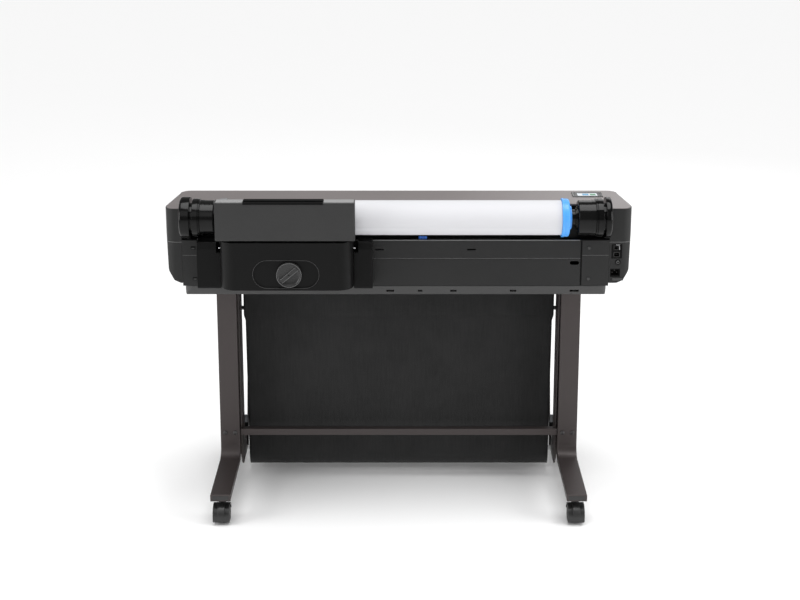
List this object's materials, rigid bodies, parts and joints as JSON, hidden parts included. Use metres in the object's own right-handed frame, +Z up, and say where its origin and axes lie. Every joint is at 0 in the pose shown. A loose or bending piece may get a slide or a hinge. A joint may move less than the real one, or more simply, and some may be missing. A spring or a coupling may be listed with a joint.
{
  "type": "large format plotter",
  "caption": "Wide roll-fed plotter on a rolling stand, with a spindle-held paper roll, a rear sheet feeder, a hinged cover and a fabric output bin.",
  "frame": {"origin": "on the floor, under the middle of the machine", "axes": "+X along the roll towards the end with the sockets, -Y towards the media-loading side, +Z up"},
  "size_m": [1.317, 0.605, 0.944],
  "materials": {
    "casing": "dark grey, fine spark texture",
    "top_cover": "warm grey satin",
    "feeder": "dark grey satin",
    "black_plastic": "black matt",
    "cartridge": "black satin",
    "gloss_black": "gloss black",
    "screen": "lit touch screen behind glass",
    "window": "smoked, glossy",
    "steel": "plated",
    "rubber": "matt rubber",
    "paper": "matt white coated paper",
    "blue_plastic": "sky blue satin",
    "grey_plastic": "light grey satin",
    "stand_metal": "dark bronze powder coat",
    "fabric": "black woven polyester",
    "caster_plastic": "black nylon",
    "caster_tread": "dark grey tread"
  },
  "bodies": {
    "frame": {"end_cap_left_upper": "casing", "end_cap_left_lower": "casing", "end_cap_right_upper": "casing", "end_cap_right_lower": "casing", "top_cover": "top_cover", "control_bezel": "gloss_black", "touch_screen": "screen", "rear_panel_upper": "casing", "rear_panel_lower": "casing", "rear_side_panel_left": "casing", "rear_side_panel_right": "casing", "base_tray": "casing", "roll_trough": "black_plastic", "front_fascia": "casing", "platen": "black_plastic", "carriage_rail": "steel", "drive_belt": "rubber", "power_supply": "steel", "ink_cartridge_1": "cartridge", "ink_cartridge_2": "cartridge", "ink_cartridge_3": "cartridge", "ink_cartridge_4": "cartridge", "io_plate": "black_plastic", "power_inlet": "black_plastic", "asf_body": "feeder", "asf_arm_left": "black_plastic", "asf_arm_right": "black_plastic", "stand_leg_left": "stand_metal", "stand_leg_right": "stand_metal", "crossbar": "stand_metal", "bin_rear_rod": "stand_metal", "bin_fabric_rear": "fabric"},
    "spindle": {"spindle": "gloss_black", "spindle_hub_right": "gloss_black", "paper_roll": "paper", "roll_flange_right": "blue_plastic", "roll_flange_left": "grey_plastic"},
    "feed_roller": {"feed_roller": "rubber"},
    "carriage": {"carriage": "black_plastic"},
    "belt_pulley_left": {"belt_pulley_left": "steel"},
    "belt_pulley_right": {"belt_pulley_right": "steel"},
    "access_cover": {"access_cover": "window"},
    "ink_door": {"ink_door": "casing"},
    "power_button": {"power_button": "gloss_black"},
    "asf_cover": {"asf_cover": "feeder"},
    "asf_extension": {"asf_extension": "gloss_black"},
    "asf_knob": {"asf_knob": "feeder"},
    "asf_pickup_roller": {"asf_pickup_roller": "rubber"},
    "bin_frame": {"bin_arm_left": "stand_metal", "bin_arm_right": "stand_metal", "bin_front_rod": "stand_metal", "bin_fabric_front": "fabric"},
    "caster_fork_rear_left": {"caster_fork_rear_left": "caster_plastic"},
    "caster_wheel_rear_left": {"caster_wheel_rear_left": "caster_tread"},
    "caster_fork_rear_right": {"caster_fork_rear_right": "caster_plastic"},
    "caster_wheel_rear_right": {"caster_wheel_rear_right": "caster_tread"},
    "caster_fork_front_left": {"caster_fork_front_left": "caster_plastic"},
    "caster_wheel_front_left": {"caster_wheel_front_left": "caster_tread"},
    "caster_fork_front_right": {"caster_fork_front_right": "caster_plastic"},
    "caster_wheel_front_right": {"caster_wheel_front_right": "caster_tread"}
  },
  "joints": [
    {"name": "spindle_spin", "type": "hinge", "parent": "frame", "child": "spindle", "pos_m": [0, -0.165, 0.875], "axis": [1, 0, 0], "continuous": true},
    {"name": "feed_roller_spin", "type": "hinge", "parent": "frame", "child": "feed_roller", "pos_m": [0, 0.02, 0.735], "axis": [1, 0, 0], "continuous": true},
    {"name": "carriage_slide", "type": "slide", "parent": "frame", "child": "carriage", "axis": [-1, 0, 0], "range_m": [0, 1.04]},
    {"name": "belt_pulley_left_spin", "type": "hinge", "parent": "frame", "child": "belt_pulley_left", "pos_m": [-0.56, -0.004, 0.812], "axis": [0, 1, 0], "continuous": true},
    {"name": "belt_pulley_right_spin", "type": "hinge", "parent": "frame", "child": "belt_pulley_right", "pos_m": [0.56, -0.004, 0.812], "axis": [0, 1, 0], "continuous": true},
    {"name": "access_cover_hinge", "type": "hinge", "parent": "frame", "child": "access_cover", "pos_m": [0, 0.069, 0.8955], "axis": [1, 0, 0], "range_deg": [0, 80]},
    {"name": "ink_door_hinge", "type": "hinge", "parent": "frame", "child": "ink_door", "pos_m": [0.548, 0.1865, 0.6745], "axis": [-1, 0, 0], "range_deg": [0, 85]},
    {"name": "power_button_press", "type": "slide", "parent": "frame", "child": "power_button", "axis": [0, 1, 0], "range_m": [0, 0.0015], "stiffness_N_per_m": 300, "springref_m": -0.0006},
    {"name": "asf_cover_tilt", "type": "hinge", "parent": "frame", "child": "asf_cover", "pos_m": [-0.3125, -0.256, 0.824], "axis": [1, 0, 0], "range_deg": [0, 35]},
    {"name": "asf_extension_slide", "type": "slide", "parent": "asf_cover", "child": "asf_extension", "axis": [0, 0, 1], "range_m": [0, 0.07]},
    {"name": "asf_knob_turn", "type": "hinge", "parent": "frame", "child": "asf_knob", "pos_m": [-0.303, -0.25, 0.737], "axis": [0, -1, 0], "range_deg": [0, 90]},
    {"name": "asf_pickup_spin", "type": "hinge", "parent": "frame", "child": "asf_pickup_roller", "pos_m": [-0.305, -0.205, 0.8], "axis": [1, 0, 0], "continuous": true},
    {"name": "bin_frame_swing", "type": "hinge", "parent": "frame", "child": "bin_frame", "pos_m": [0, 0.15, 0.074], "axis": [1, 0, 0], "range_deg": [0, 15]},
    {"name": "caster_swivel_rear_left", "type": "hinge", "parent": "frame", "child": "caster_fork_rear_left", "pos_m": [-0.507, -0.258, 0.066], "axis": [0, 0, 1], "continuous": true},
    {"name": "caster_roll_rear_left", "type": "hinge", "parent": "caster_fork_rear_left", "child": "caster_wheel_rear_left", "pos_m": [-0.507, -0.27, 0.025], "axis": [1, 0, 0], "continuous": true},
    {"name": "caster_swivel_rear_right", "type": "hinge", "parent": "frame", "child": "caster_fork_rear_right", "pos_m": [0.507, -0.258, 0.066], "axis": [0, 0, 1], "continuous": true},
    {"name": "caster_roll_rear_right", "type": "hinge", "parent": "caster_fork_rear_right", "child": "caster_wheel_rear_right", "pos_m": [0.507, -0.27, 0.025], "axis": [1, 0, 0], "continuous": true},
    {"name": "caster_swivel_front_left", "type": "hinge", "parent": "frame", "child": "caster_fork_front_left", "pos_m": [-0.507, 0.258, 0.066], "axis": [0, 0, 1], "continuous": true},
    {"name": "caster_roll_front_left", "type": "hinge", "parent": "caster_fork_front_left", "child": "caster_wheel_front_left", "pos_m": [-0.507, 0.27, 0.025], "axis": [1, 0, 0], "continuous": true},
    {"name": "caster_swivel_front_right", "type": "hinge", "parent": "frame", "child": "caster_fork_front_right", "pos_m": [0.507, 0.258, 0.066], "axis": [0, 0, 1], "continuous": true},
    {"name": "caster_roll_front_right", "type": "hinge", "parent": "caster_fork_front_right", "child": "caster_wheel_front_right", "pos_m": [0.507, 0.27, 0.025], "axis": [1, 0, 0], "continuous": true}
  ],
  "couplings": [
    {"joint": "belt_pulley_left_spin", "follows": "carriage_slide", "rad_per_m": 76.923},
    {"joint": "belt_pulley_right_spin", "follows": "carriage_slide", "rad_per_m": 76.923}
  ]
}
